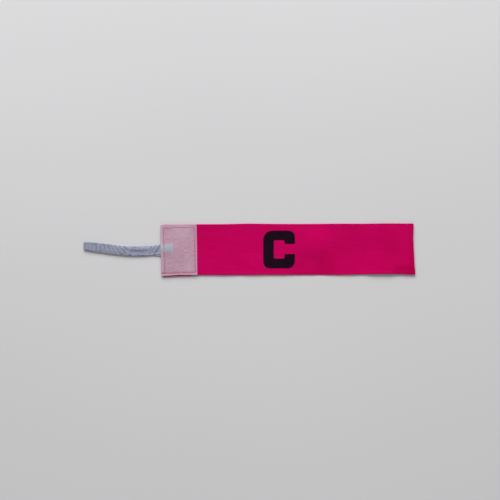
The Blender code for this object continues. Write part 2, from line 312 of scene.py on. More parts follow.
# Painted shade on the cloth, or with a minus painted light, how far that reaches and by what share
CLOTH_LIGHT_AND_SHADE = [
    (0.0536, 0.0128, 0.0110, 0.0200, 0.13),
    (0.2249, -0.0095, 0.0180, 0.0110, 0.16),
    (0.2600, 0.0278, 0.0130, 0.0080, 0.13),
    (0.3085, 0.0100, 0.0180, 0.0240, 0.15),
    (0.3256, -0.0253, 0.0140, 0.0075, 0.26),
    (0.2140, -0.0270, 0.0330, 0.0120, 0.11),
    (0.3230, 0.0330, 0.0200, 0.0060, 0.06),
    (0.0690, 0.0250, 0.0110, 0.0060, 0.07),
    (0.1025, 0.0098, 0.0110, 0.0090, -0.06),
    (0.1093, 0.0196, 0.0100, 0.0120, -0.08),
    (0.1570, 0.0325, 0.0220, 0.0035, -0.08),
]

# Painted light on the hook tape, or with a minus painted shade, such as a shadow below the tails,
# in the same way
TAPE_LIGHT_AND_SHADE = [
    (0.0250, 0.0235, 0.0130, 0.0100, 0.34),
    (0.0365, -0.0230, 0.0065, 0.0085, 0.34),
    (0.0087, 0.0062, 0.0050, 0.0020, 0.16),
    (0.0101, 0.0166, 0.0030, 0.0030, 0.18),
    (0.0264, 0.0055, 0.0030, 0.0040, 0.18),
    (0.0220, -0.0265, 0.0120, 0.0030, 0.15),
    (-0.0016, 0.0050, 0.0014, 0.0030, 0.34),
    (0.0075, -0.0048, 0.0065, 0.0032, -0.50),
    (0.0090, -0.0190, 0.0070, 0.0080, -0.14),
    (0.0046, -0.0080, 0.0035, 0.0050, -0.16),
]

# Painted shade on the elastic, and where its puckers lie calmer, with lengths along it as shares
# of the loop's reach, and those across it as shares of the tape's width
LOOP_SHADE = [
    (0.375, 0.20, 0.050, 0.12, 0.36),
    (0.270, 0.20, 0.070, 0.12, 0.12),
    (0.245, -0.32, 0.030, 0.10, 0.28),
]
LOOP_CALM = [(0.58, -0.13, 0.13, 0.08, 0.7)]

# Ripples: how high each kind stands, how long its waves are, and the seed of its random draws
WAVES = 7
CLOTH_RIPPLES = [(0.00020, 0.045, 5), (0.00006, 0.016, 8)]
HEM_RIPPLES = [(0.00007, 0.0085, 3)]
HEM_RIPPLES_REACH = 0.004
PUCKER_RIPPLES = [(0.09, 0.006, 21), (0.05, 0.0025, 22)]
STRENGTH_RIPPLES = [(0.25, 0.009, 23), (0.27, 0.0035, 24)]
SEAM_RIPPLES = [(0.20, 0.0035, 31)]

# Crease across the lower right corner, and how the corner below it falls away
CREASE = [(0.3099, -0.0225), (0.3174, -0.0280), (0.3378, -0.0280), (0.3419, -0.0247)]
CREASE_DEPTH = 0.00012
CREASE_REACH = 0.0018
FALL_X = 0.3095
FALL_Y = -0.0215
FALL_RUN_X = 0.0070
FALL_RUN_Y = 0.0120
FALL_DEPTH = 0.0007

# Corners of the box of stitches round the hook tape, and the overrun that locks it. Behind, the
# overrun ends sooner, at the band's own end.
TAPE_SEAM = [
    (0.0031, -0.0326),
    (0.0026, -0.0171),
    (0.0012, 0.0196),
    (0.0010, 0.0282),
    (0.0182, 0.0296),
    (0.0305, 0.0297),
    (0.0427, 0.0304),
    (0.0449, -0.0311),
    (-0.0018, -0.0326),
]
BACK_SEAM = [*TAPE_SEAM[:-1], (0.0012, -0.0326)]

# Where the hook tape is white, over the tails and past the band's end. Past each of the lines
# across * x + up * y = start, the white fades over a run. Each row is across, up, start and run.
WHITE_TAILS = [
    (1.0, 0.10, TAIL_LENGTH - 0.0022, 0.0042),
    (-0.20, 1.0, 0.0050, 0.0028),
    (0.0, -1.0, 0.0030, 0.0024),
]
WHITE_END = [(1.0, 0.0, -0.0018, 0.0014)]

# Left, right, bottom and top of the box past which the hook tape is paler
STRIP = (0.0016, 0.0443, -0.0318, 0.0292)

# Where the seam's lines cross and lock, how far that reaches, and how wide a line the seam draws
KNOT_X = 0.0022
KNOT_REACH_X = 0.0036
KNOT_REACH_Y = 0.0016
SEAM_LINE = 0.00048
KNOT_LINE = 0.0009

# Each light's name, place, width, depth and power, all turned to the middle, then floor, sky and
# camera
LIGHTS = [
    ("window", (-0.18, 2.61, 1.55), 3.1, 1.8, 133.0),
    ("bounce", (0.10, -1.80, 0.95), 1.8, 1.0, 5.0),
    ("ceiling", (0.1, 0.1, 2.3), 1.6, 1.2, 3.0),
]
FLOOR_REACH = 4.0
FLOOR_DROP = 0.00005
SKY_STRENGTH = 0.20
CAMERA_SPOT = (0.000612, 0.000272, 1.8889)
LENS_LENGTH = 100.0
SENSOR_WIDTH = 36.0

# Sizes and places that follow
TAILS_RISE = 2 * ELASTIC_THICKNESS * TAIL_SQUEEZE + AIR
TAILS_MIDDLE = LOOP_REACH * LOOP_ROWS[0].side
TAILS_REACH = ELASTIC_WIDTH / 2 + TAIL_MARGIN
PATCH_RIGHT = BAND_LENGTH - PATCH_INSET
PATCH_LEFT = PATCH_RIGHT - PATCH_WIDTH

# The pile tape's own stitches, which run this far inside its edge and end with an overrun
PATCH_SEAM_INSET = 0.0021
PATCH_SEAM_OVERRUN = 0.0010
SEAM_LEFT = PATCH_LEFT + PATCH_SEAM_INSET
SEAM_RIGHT = PATCH_RIGHT - PATCH_SEAM_INSET
SEAM_TOP = PATCH_HEIGHT / 2 - PATCH_SEAM_INSET
PATCH_SEAM = [
    (SEAM_LEFT, -SEAM_TOP),
    (SEAM_LEFT, SEAM_TOP),
    (SEAM_RIGHT, SEAM_TOP),
    (SEAM_RIGHT, -SEAM_TOP),
    (SEAM_LEFT - PATCH_SEAM_OVERRUN, -SEAM_TOP),
]

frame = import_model()
BODY = next(iter(frame["bodies"]))
patch_low, patch_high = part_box("loop_patch")
LEFT_END = patch_high.x + PATCH_INSET - BAND_LENGTH
ORIGIN = np.array([LEFT_END, (patch_low.y + patch_high.y) / 2, 0.0])


def ease(at, start=0.0, run=1.0):
    """0 up to the start, 1 from a run beyond it, and a smooth climb between."""
    share = np.clip((at - start) / run, 0.0, 1.0)
    return share * share * (3 - 2 * share)


def bell(away, reach, power=2):
    """1 at no distance, and falling to nothing over about the reach."""
    return np.exp(-((away / reach) ** power))


def follow(rows, column, at):
    """A table's column at places between its rows, on a smooth curve through them."""
    places = np.array([row[0] for row in rows])
    values = np.array([getattr(row, column) for row in rows])
    order = np.arange(len(rows))
    after, before = np.minimum(order + 1, order[-1]), np.maximum(order - 1, 0)
    slopes = (values[after] - values[before]) / (places[after] - places[before])
    at = np.clip(at, places[0], places[-1])
    i = np.clip(np.searchsorted(places, at, side="right") - 1, 0, len(rows) - 2)
    step = places[i + 1] - places[i]
    t = (at - places[i]) / step
    start = (1 + 2 * t) * (1 - t) ** 2 * values[i] + t * (1 - t) ** 2 * step * slopes[i]
    end = t * t * (3 - 2 * t) * values[i + 1] - t * t * (1 - t) * step * slopes[i + 1]
    return start + end


def stations(marks, cell):
    """The marks in order, with equal steps no longer than cell between them."""
    marks = sorted(marks)
    found = [marks[0]]
    for low, high in zip(marks, marks[1:]):
        steps = max(1, math.ceil((high - low) / cell - 0.001))
        found += [low + (high - low) * (k + 1) / steps for k in range(steps)]
    return np.array(found)


def lines(low, high, marks, cell):
    """Places of mesh lines between two edges, with one at every mark inside each edge."""
    return stations([low + mark for mark in marks] + [high - mark for mark in marks], cell)


def ripples(kinds, x, y):
    """A gently uneven surface, whose waves run every way."""
    total = 0.0
    for height, usual_length, seed in kinds:
        draw = random.Random(seed)
        waves = 0.0
        for _ in range(WAVES):
            turn = draw.uniform(0, math.tau)
            length = usual_length * draw.uniform(0.7, 1.5)
            start = draw.uniform(0, math.tau)
            ahead = (x * math.cos(turn) + y * math.sin(turn)) / length
            waves = waves + np.sin(math.tau * ahead + start)
        total = total + height * (waves / math.sqrt(WAVES))
    return total


def swelling(spots, x, y):
    """Height of swells, depth of hollows, or strength of tones."""
    total = 0.0
    for spot_x, spot_y, along, across, rise in spots:
        near = ((x - spot_x) / along) ** 2 + ((y - spot_y) / across) ** 2
        total = total + rise * np.exp(-near)
    return total


def within(edges, x, y):
    """1 inside all of a table's lines, fading to 0 past them."""
    share = 1.0
    for across, up, start, run in edges:
        share = share * (1 - ease(across * x + up * y, start, run))
    return share


def far_from(x, y, path):
    """How far each point lies from a path of straight pieces."""
    nearest = np.full(np.broadcast(x, y).shape, 1.0)
    for (ax, ay), (bx, by) in zip(path, path[1:]):
        run, rise = bx - ax, by - ay
        share = np.clip(((x - ax) * run + (y - ay) * rise) / (run * run + rise * rise), 0, 1)
        nearest = np.minimum(nearest, np.hypot(x - ax - share * run, y - ay - share * rise))
    return nearest


def band_edges(x):
    """The band's bottom and top edge at a place along it."""
    along = x / BAND_LENGTH
    bottom = BAND_HEIGHT * (follow(BAND_ROWS, "bottom", along) - 0.5)
    top = BAND_HEIGHT * (follow(BAND_ROWS, "top", along) + 0.5)
    return bottom, top


def band_inward(x, y):
    """How far a place lies inside the band's long edges and its right end."""
    bottom, top = band_edges(x)
    return np.minimum(np.minimum(y - bottom, top - y), BAND_LENGTH - x)


def band_lift(x, y):
    """How far the patch behind the right end holds the band off the surface."""
    climb = ease(x, PATCH_LEFT - 0.9 * PATCH_RAMP, PATCH_RAMP)
    droop = PATCH_DROOP * ease(np.abs(y), PATCH_HEIGHT / 2, 2 * PATCH_MARGIN)
    return (PATCH_THICKNESS + AIR) * climb * (1 - droop)


def band_back(x, y):
    """Height of the band's back face."""
    bulge = np.maximum(swelling(SWELLS, x, y), 0.0)
    dent = BACK_DENT * bell(far_from(x, y, TAPE_SEAM), BACK_DENT_REACH)
    return band_lift(x, y) + BACK_SHARE * bulge * ease(band_inward(x, y), run=BACK_RUN) + dent


def under_tails(x, y):
    """1 where the tails of the elastic lie, falling to 0 a little way round them."""
    beside = 1 - ease(np.abs(y - TAILS_MIDDLE), TAILS_REACH, PANEL_RAMP)
    return beside * (1 - ease(x, TAIL_LENGTH, PANEL_RAMP))


def band_front(x, y):
    """Height of the band's front face."""
    inward = band_inward(x, y)

    # The hem is fuller along the bottom than along the top
    full = follow(BAND_ROWS, "hem", x / BAND_LENGTH) * (0.6 - 0.4 * np.tanh(y / UPPER_RUN))
    hem = full * HEM_RISE * (1 - ease(inward, HEM_CREST, HEM_FALL))
    crisp = (1 - ease(x, CRISP_END, CRISP_RUN)) * ease(y, run=UPPER_RUN)
    hem = hem + crisp * HEM_STEP * (1 - ease(inward, HEM_WIDTH, HEM_STEP_RUN))
    uneven = ripples(HEM_RIPPLES, x, 0.4 * y) * np.exp(-inward / HEM_RIPPLES_REACH)
    uneven = uneven + ripples(CLOTH_RIPPLES, x, y)
    crease = CREASE_DEPTH * bell(far_from(x, y, CREASE), CREASE_REACH)
    fall = FALL_DEPTH * ease(FALL_Y - y, run=FALL_RUN_Y) * ease(x, FALL_X, FALL_RUN_X)

    # Nothing uneven under the hook tape, which holds the cloth flat
    free = ease(x, PANEL_WIDTH - PANEL_HOLD, 2 * PANEL_HOLD)
    relief = free * (swelling(SWELLS, x, y) + uneven - crease - fall)
    relief = relief + swelling(BULGE, x, y) - TAILS_SINK * under_tails(x, y)
    return band_lift(x, y) + BAND_THICKNESS + hem + relief


def from_rim(columns, rows):
    """How far each crossing of the mesh lines lies inside the outermost ones."""
    along = np.minimum(columns - columns[0], columns[-1] - columns)
    up = np.minimum(rows - rows[0], rows[-1] - rows)
    return np.minimum(along[None, :], up[:, None])


def cut_square(left, right, height, cell):
    """x and y of the mesh of a tape that is cut square, and how full it is towards its rim."""
    columns = lines(left, right, CUT_EDGE, cell)
    rows = lines(-height / 2, height / 2, CUT_EDGE, cell)
    short = np.clip(1 - from_rim(columns, rows) / (TAPE_THICKNESS / 2), 0.0, 1.0)
    return *np.meshgrid(columns, rows), np.sqrt(1 - short * short)


def new_object(name, data):
    """An object of the scene, at the origin."""
    obj = bpy.data.objects.new(name, data)
    bpy.context.scene.collection.objects.link(obj)
    return obj


def quads(index, order=1):
    """The corners of each cell in a grid of points."""
    cells = [index[:-1, :-1], index[:-1, 1:], index[1:, 1:], index[1:, :-1]]
    return np.stack(cells, axis=-1).reshape(-1, 4)[:, ::order].tolist()


def smooth_piece(name, points, faces, material, uv=None):
    """A smooth piece with every face turned outwards, from points of the band's frame."""
    data = bpy.data.meshes.new(name)
    data.from_pydata((points + ORIGIN).tolist(), [], faces)
    if uv is not None:
        layer = data.uv_layers.new(name="along_across")
        corners = np.empty(len(data.loops), dtype=np.int32)
        data.loops.foreach_get("vertex_index", corners)
        layer.data.foreach_set("uv", np.asarray(uv, np.float32)[corners].ravel())
    mesh = bmesh.new()
    mesh.from_mesh(data)
    bmesh.ops.recalc_face_normals(mesh, faces=mesh.faces[:])
    mesh.to_mesh(data)
    mesh.free()
    data.shade_smooth()
    data.materials.append(material)
    return new_object(name, data)


def paint(piece, **layers):
    """Gives a piece one number at each point for every layer, for its material to read."""
    for name, values in layers.items():
        layer = piece.data.attributes.new(name, "FLOAT", "POINT")
        layer.data.foreach_set("value", np.asarray(values, np.float32).ravel())


def closed_sheet(name, x, y, back, front, full, material):
    """A piece whose two faces meet in its rim, and its points' x and y.

    full is how far each point keeps from the middle of the thickness, as a share.
    """
    middle = (front + back) / 2
    front = middle + (front - middle) * full
    back = middle + (back - middle) * full
    upper = np.arange(x.size).reshape(x.shape)
    lower = upper.copy()
    inner = lower[1:-1, 1:-1]
    lower[1:-1, 1:-1] = x.size + np.arange(inner.size).reshape(inner.shape)
    top = np.stack([x, y, front], axis=-1).reshape(-1, 3)
    under = np.stack([x, y, back], axis=-1)[1:-1, 1:-1].reshape(-1, 3)
    points = np.concatenate([top, under])
    piece = smooth_piece(name, points, quads(upper) + quads(lower, -1), material)
    return piece, points[:, 0], points[:, 1]


def sign(operation):
    """The two methods of a sign of arithmetic, for a flow before it and for a flow after it."""
    kind = "ShaderNodeMath"
    return (
        lambda flow, other: put(flow.tree, kind, {0: flow, 1: other}, operation=operation),
        lambda flow, other: put(flow.tree, kind, {0: other, 1: flow}, operation=operation),
    )


class Flow:
    """One output of a node. Arithmetic with it adds Math nodes to the same tree."""

    __add__, __radd__ = sign("ADD")
    __sub__, __rsub__ = sign("SUBTRACT")
    __mul__, __rmul__ = sign("MULTIPLY")
    __truediv__, __rtruediv__ = sign("DIVIDE")

    def __init__(self, socket):
        self.socket = socket
        self.tree = socket.id_data

    def __getitem__(self, name):
        """Another output of the same node."""
        return Flow(pick(self.socket.node.outputs, name))

    def into(self, kind, sockets=(), **settings):
        """Adds a node whose first socket takes this output, and gives its first output."""
        return put(self.tree, kind, {0: self, **dict(sockets)}, **settings)

    def calc(self, operation):
        """The result of a Math node that takes this output alone."""
        return self.into("ShaderNodeMath", operation=operation)

    def clamped(self):
        """The result of this Math node, kept from 0 to 1."""
        self.socket.node.use_clamp = True
        return self


def pick(sockets, key):
    """A node's socket by its place, or by its name among those in use."""
    if isinstance(key, int):
        return sockets[key]
    return next(one for one in sockets if one.name == key and not one.is_unavailable)


def put(tree, kind, sockets=(), **settings):
    """Adds a node, its sockets set to values or linked to flows, and gives its first output."""
    node = tree.nodes.new(kind)
    for setting, value in settings.items():
        setattr(node, setting, value)
    for key, value in dict(sockets).items():
        socket = pick(node.inputs, key)
        if isinstance(value, Flow):
            tree.links.new(value.socket, socket)
        else:
            socket.default_value = (*value, 1.0) if socket.type == "RGBA" else value
    return Flow(next(one for one in node.outputs if not one.is_unavailable))


def combined(tree, x=0.0, y=0.0, z=0.0):
    """A vector of three numbers or flows."""
    return put(tree, "ShaderNodeCombineXYZ", {0: x, 1: y, 2: z})


def start_group(name, kind, inputs):
    """Starts a node group, and gives a flow that has its inputs by name.

    Each input has its usual value, or where it has none, the kind of its socket.
    """
    sorts = {float: "Float", int: "Int", tuple: "Vector"}
    tree = bpy.data.node_groups.new(name, kind)
    for label, value in inputs.items():
        sort = sorts.get(type(value), value)
        socket = tree.interface.new_socket(label, in_out="INPUT", socket_type=f"NodeSocket{sort}")
        if sort != value:
            socket.default_value = value
    return Flow(tree.nodes.new("NodeGroupInput").outputs[0])


def end_group(flow, name, sort):
    """Puts a flow out of its node group, which is then complete."""
    tree = flow.tree
    tree.interface.new_socket(name, in_out="OUTPUT", socket_type=f"NodeSocket{sort}")
    tree.links.new(flow.socket, tree.nodes.new("NodeGroupOutput").inputs[name])
    return tree


def make_knit_group():
    """Fine knitted loops: wales side by side, each of two legs, in courses."""
    inputs = {"Vector": "Vector", "Wale": 0.0009, "Course": 0.0007}
    given = start_group("knit", "ShaderNodeTree", inputs)
    place = given["Vector"].into("ShaderNodeSeparateXYZ")
    wale = place["X"] / given["Wale"]
    aside = (wale.calc("FRACT") - 0.5).calc("ABSOLUTE")
    course = place["Y"] / given["Course"] + aside * 1.4
    loops = (course * math.tau).calc("COSINE") * 0.25 + 0.75
    legs = (wale * math.tau).calc("SINE").calc("ABSOLUTE").calc("SQRT")
    return end_group(legs * loops, "Height", "Float")


def make_mottle_group():
    """Uneven dye and handling: broad soft patches with finer ones over them, 0 to 1."""
    inputs = {"Vector": "Vector", "Size": 0.02, "Fineness": 0.4}
    given = start_group("mottle", "ShaderNodeTree", inputs)
    sockets = {"Scale": 1 / given["Size"], "Detail": 4.0, "Roughness": given["Fineness"]}
    noise = given["Vector"].into("ShaderNodeTexNoise", sockets)
    spread = noise.into("ShaderNodeMapRange", {1: 0.3, 2: 0.7}, clamp=True)
    return end_group(spread, "Amount", "Float")


def make_fibre_group():
    """Fine yarn fibres that run along the first of two coordinates."""
    inputs = {"Vector": "Vector", "Length": 0.002, "Width": 0.00012}
    given = start_group("fibres", "ShaderNodeTree", inputs)
    place = given["Vector"].into("ShaderNodeSeparateXYZ")
    across, deep = (place[axis] / given["Width"] for axis in "YZ")
    stretched = combined(given.tree, place["X"] / given["Length"], across, deep)
    noise = stretched.into("ShaderNodeTexNoise", {"Scale": 1.0, "Detail": 2.0})
    return end_group(noise, "Height", "Float")


KNIT = make_knit_group()
MOTTLE = make_mottle_group()
FIBRES = make_fibre_group()


def titled(name):
    """The name of a socket that a keyword stands for."""
    return name.replace("_", " ").title()


def use(group, place, **values):
    """What a node group puts out at a place, with its other inputs set by name."""
    sockets = {titled(name): value for name, value in values.items()}
    return place.into("ShaderNodeGroup", sockets, node_tree=group)


def start_material(name, roughness, gloss, sheen=0.0, tint=(1.0, 1.0, 1.0)):
    """A material, its even values set on its shader, and the place of each of its points."""
    material = bpy.data.materials.new(name)
    material.use_nodes = True
    shader = material.node_tree.nodes["Principled BSDF"].inputs
    shader["Roughness"].default_value = roughness
    shader["Specular IOR Level"].default_value = gloss
    shader["Sheen Weight"].default_value = sheen
    shader["Sheen Roughness"].default_value = 0.5
    shader["Sheen Tint"].default_value = (*tint, 1.0)
    return material, put(material.node_tree, "ShaderNodeTexCoord")["Object"]


def end_material(material, colour, roughness=None, normal=None):
    """Links what varies over a material to its shader."""
    tree = material.node_tree
    shader = tree.nodes["Principled BSDF"].inputs
    for name, flow in (("Base Color", colour), ("Roughness", roughness), ("Normal", normal)):
        if flow is not None:
            tree.links.new(flow.socket, shader[name])
    return material


def blend(share, low, high):
    """A colour between two, each of them a colour or a flow."""
    return share.into("ShaderNodeMix", {"A": low, "B": high}, data_type="RGBA")


def bump(height, depth, strength, **under):
    """A normal that leans as a height does, over another normal or over the surface's own."""
    sockets = {"Height": height, "Distance": depth, "Strength": strength}
    if under:
        sockets["Normal"] = under["over"]
    return put(height.tree, "ShaderNodeBump", sockets)


def painted(place, name):
    """A number that the mesh carries at its points."""
    return put(place.tree, "ShaderNodeAttribute", attribute_name=name)["Fac"]


def make_pink_cloth():
    """Hot pink knit, with paler and duller courses, and painted shade and light in places."""
    tint = (1.0, 0.1, 0.4)
    material, place = start_material("pink_cloth", roughness=0.8, gloss=0.01, sheen=0.05, tint=tint)
    patches = use(MOTTLE, place, size=0.03, fineness=0.5)
    knit = use(KNIT, place)
    fuzz = use(FIBRES, place, length=0.0006, width=0.0002)
    courses = use(FIBRES, place, length=0.026, width=0.0016)
    dye = (courses * 3 - 1).clamped() * 0.5 + patches * 0.5
    colour = blend(dye, (0.538, 0.0010, 0.0955), (0.603, 0.0016, 0.116))
    # Painted shade between the knit's loops, in places and over the turned right end; a minus
    # paints light
    shade = (knit * 0.2 + 0.8) * (1 - painted(place, "dull"))
    colour = blend(shade, (0.40, 0.0005, 0.032), colour)
    normal = bump(fuzz, 0.00003, 0.4, over=bump(knit, 0.00006, 0.5))
    return end_material(material, colour, fuzz * 0.2 + 0.68, normal)


def make_hook_tape():
    """Woven nylon, thin enough that the pink under it tints it, with painted light and shade."""
    material, place = start_material("hook_tape", roughness=0.6, gloss=0.12)
    weave = use(KNIT, place, wale=0.0012, course=0.0009)
    patches = use(MOTTLE, place, size=0.012, fineness=0.5)
    picks = use(FIBRES, place, length=0.0080, width=0.0013)
    colour = blend(patches, (0.610, 0.395, 0.495), (0.680, 0.465, 0.567))
    colour = blend((picks * 2.7 - 0.92).clamped(), (0.510, 0.295, 0.395), colour)
    # Some of these layers are painted light and painted shade, where the tape would lie lit or
    # shaded
    for layer, shade in (
        ("edge", (0.700, 0.450, 0.575)),
        ("sheer", (0.650, 0.260, 0.475)),
        ("whiteness", (0.490, 0.505, 0.598)),
        ("pale", (0.760, 0.580, 0.685)),
        ("dull", (0.400, 0.285, 0.365)),
    ):
        colour = blend(painted(place, layer), colour, shade)
    drawn_in = blend(painted(place, "whiteness"), (0.400, 0.050, 0.160), (0.270, 0.245, 0.325))
    colour = blend(painted(place, "seam"), colour, drawn_in)
    # Painted shade in the hollows of the weave
    colour = blend(weave * 0.25 + 0.75, (0.26, 0.10, 0.15), colour)
    return end_material(material, colour, weave * -0.15 + 0.7, bump(weave, 0.00006, 0.7))


def make_hook_nylon():
    """The clear, slightly milky wire of the hooks, tinted by what lies under it."""
    material, place = start_material("hook_nylon", roughness=0.35, gloss=0.25)
    patches = use(MOTTLE, place, size=0.0024, fineness=0.6)
    pink = blend(patches, (0.680, 0.520, 0.620), (0.900, 0.780, 0.870))
    colour = blend(painted(place, "whiteness"), pink, (0.600, 0.610, 0.700))
    return end_material(material, colour, patches * 0.2 + 0.3)


def make_elastic_yarn():
    """White covered rubber cords, side by side, with painted shade in their grooves and painted
    light on their edges.
    """
    material, place = start_material("elastic", roughness=0.8, gloss=0.10, sheen=0.1)
    flat = put(place.tree, "ShaderNodeUVMap", uv_map="along_across")
    fibres = use(FIBRES, flat, length=0.0016, width=0.00011)
    knit = use(KNIT, flat, wale=0.00110, course=0.000735)
    patches = use(MOTTLE, place, size=0.006, fineness=0.5)
    specks = use(MOTTLE, place, size=0.0016, fineness=0.6)
    cloth = blend(patches, (0.390, 0.402, 0.500), (0.440, 0.452, 0.550))
    cloth = blend(specks, (0.310, 0.322, 0.415), cloth)
    # Painted light along the edges, and painted shade in the grooves and by the fold
    cloth = blend(painted(place, "selvedge"), cloth, (0.540, 0.555, 0.670))
    cloth = blend(painted(place, "groove"), cloth, (0.163, 0.187, 0.298))
    # Painted shade between the fibres
    colour = blend((fibres * 0.3 + 0.75).clamped(), (0.20, 0.21, 0.28), cloth)
    normal = bump(fibres, 0.00003, 0.5, over=bump(knit, 0.00005, 0.5))
    return end_material(material, colour, fibres * 0.2 + 0.68, normal)


def make_letter_film():
    """A soft near-black film pressed on the cloth, so that the knit shows through it faintly."""
    material, place = start_material("letter_film", roughness=0.6, gloss=0.02)
    patches = use(MOTTLE, place, size=0.015, fineness=0.5)
    colour = blend(patches, (0.0110, 0.0030, 0.0092), (0.0140, 0.0045, 0.0118))
    normal = bump(use(KNIT, place), 0.00003, 0.35)
    return end_material(material, colour, patches * 0.15 + 0.5, normal)


def make_thread():
    """Pink sewing thread, its plies wound round each other."""
    material, place = start_material("sewing_thread", roughness=0.55, gloss=0.08)
    fibres = use(FIBRES, place, length=0.0002, width=0.0002)
    colour = blend(fibres, (0.48, 0.003, 0.10), (0.66, 0.010, 0.17))
    return end_material(material, colour, normal=bump(fibres, 0.00004, 0.6))


def make_pile_yarn():
    """The soft pale yarn of the pile tape."""
    material, place = start_material("pile_tape", roughness=0.85, gloss=0.10, sheen=0.2)
    weave = use(KNIT, place, wale=0.0010, course=0.0008)
    patches = use(MOTTLE, place, size=0.008, fineness=0.6)
    colour = blend(patches, (0.430, 0.440, 0.530), (0.520, 0.530, 0.620))
    return end_material(material, colour, patches * 0.15 + 0.75, bump(weave, 0.00005, 0.5))


def chance(low, high, seed):
    """A number drawn for each point on its own."""
    sockets = {"Min": low, "Max": high, "Seed": seed}
    return put(seed.tree, "FunctionNodeRandomValue", sockets, data_type="FLOAT")


def stored(tree, name):
    """A number that each point keeps under a name."""
    return put(tree, "GeometryNodeInputNamedAttribute", {"Name": name}, data_type="FLOAT")


def drawn_out(line, width, sides):
    """Thread or wire of a width along a line."""
    sockets = {"Resolution": sides, "Radius": width * 0.5}
    ring = put(line.tree, "GeometryNodeCurvePrimitiveCircle", sockets)
    return line.into("GeometryNodeCurveToMesh", {"Profile Curve": ring, "Fill Caps": True})


def end_instances(points, sockets, finish, name):
    """Puts a piece on every point, and then one mesh of them all out of the node group."""
    laid = points.into("GeometryNodeInstanceOnPoints", sockets)
    smooth = laid.into("GeometryNodeRealizeInstances").into("GeometryNodeSetShadeSmooth")
    finished = smooth.into("GeometryNodeSetMaterial", {"Material": finish})
    return end_group(finished, name, "Geometry")


def make_stitch_tree():
    """Lays stitches end to end along a path, each a short bowed piece of thread."""
    inputs = {
        "Path": "Geometry",
        "Pitch": STITCH_PITCH,
        "Stitch Length": STITCH_LENGTH,
        "Thread": THREAD,
        "Facing": (0.0, 0.0, 1.0),
        "Wander": 0.10,
        "Seed": 4,
        "Finish": "Material",
    }
    given = start_group("row of stitches", "GeometryNodeTree", inputs)
    tree = given.tree
    line = given["Path"].into("GeometryNodeMeshToCurve")
    line = line.into("GeometryNodeResampleCurve", {"Length": given["Pitch"]}, mode="LENGTH")
    points = line.into("GeometryNodeCurveToPoints", mode="EVALUATED")
    kind = "FunctionNodeAlignRotationToVector"
    lie = put(tree, kind, {"Vector": points["Tangent"]}, axis="X")
    lie = lie.into(kind, {"Vector": given["Facing"]}, axis="Z", pivot_axis="X")

    # One stitch, its ends down in the cloth
    half = given["Stitch Length"] * 0.5
    sink = given["Thread"] * -0.7
    ends = {
        "Resolution": 5,
        "Start": combined(tree, x=half * -1, z=sink),
        "Middle": combined(tree, z=given["Thread"] * 1.3),
        "End": combined(tree, x=half, z=sink),
    }
    bow = put(tree, "GeometryNodeCurveQuadraticBezier", ends)
    stitch = drawn_out(bow, given["Thread"], sides=6)

    # Each one turned a little differently
    turn = combined(tree, z=chance(given["Wander"] * -1, given["Wander"], given["Seed"]))
    lie = lie.into("FunctionNodeRotateRotation", {1: turn}, rotation_space="LOCAL")
    sockets = {"Instance": stitch, "Rotation": lie}
    return end_instances(points["Points"], sockets, given["Finish"], "Stitches")


